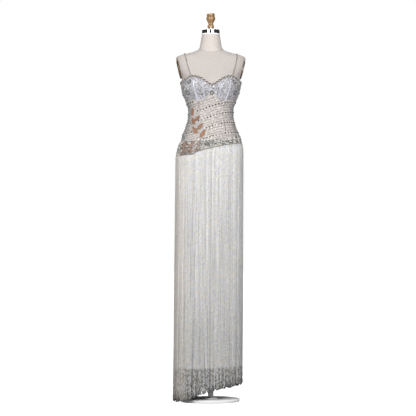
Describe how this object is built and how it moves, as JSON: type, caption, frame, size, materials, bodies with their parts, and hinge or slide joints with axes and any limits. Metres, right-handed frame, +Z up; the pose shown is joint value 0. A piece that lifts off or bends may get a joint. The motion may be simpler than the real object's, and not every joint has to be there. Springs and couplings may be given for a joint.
{
  "type": "fringed evening gown on a dress form",
  "caption": "Fitted strappy evening gown with a beaded bodice, a slanted hip band and a floor length bead fringe over a straight underskirt, worn by a limbless dress form on a pole and plate.",
  "frame": {"origin": "middle of the base plate's underside, on the floor, on the dress form's axis", "axes": "+Z up along the pole and the form, -Y towards the gown's front, +X towards the wearer's left"},
  "size_m": [0.3624, 0.2441, 1.942],
  "materials": {
    "linen": "cream woven linen, matt",
    "dark_wood": "dark brown satin varnish",
    "turned_wood": "golden brown varnish",
    "chrome": "polished",
    "white_paint": "satin white paint",
    "beaded_cloth": "net covered with small glass beads, silver and lilac",
    "satin": "lilac white satin",
    "bead_trim": "beads, copper and dark silver",
    "underskirt_cloth": "silver grey sheer cloth",
    "bead_fringe": "strung tube beads, pearly",
    "copper_beads": "copper seed beads",
    "zip_metal": "satin"
  },
  "bodies": {
    "gown_on_form": {"form_torso": "linen", "form_arm_plate_left": "dark_wood", "form_arm_plate_right": "dark_wood", "form_neck_cap": "chrome", "form_finial": "turned_wood", "stand_pole": "white_paint", "stand_base": "white_paint", "bodice_centre_front": "beaded_cloth", "bodice_side_front_left": "beaded_cloth", "bodice_side_front_right": "beaded_cloth", "bodice_back_left": "beaded_cloth", "bodice_back_right": "beaded_cloth", "boning_channel_left": "satin", "boning_channel_right": "satin", "neck_trim_front": "bead_trim", "neck_trim_back_left": "bead_trim", "neck_trim_back_right": "bead_trim", "strap_left": "bead_trim", "strap_right": "bead_trim", "hip_band_front": "bead_trim", "hip_band_back": "bead_trim", "leaf_1": "copper_beads", "leaf_2": "copper_beads", "leaf_3": "copper_beads", "leaf_4": "copper_beads", "leaf_5": "copper_beads", "leaf_6": "copper_beads", "underskirt_front": "underskirt_cloth", "underskirt_back": "underskirt_cloth", "fringe_front": "bead_fringe", "fringe_back": "bead_fringe", "zip_chain": "zip_metal", "zip_slider": "zip_metal"},
    "pull_tab": {"zip_tab": "zip_metal"}
  },
  "joints": [
    {"name": "pull_tab_hinge", "type": "hinge", "parent": "gown_on_form", "child": "pull_tab", "pos_m": [0, 0.09652, 1.548], "axis": [1, 0, 0], "range_deg": [0, 165]}
  ]
}
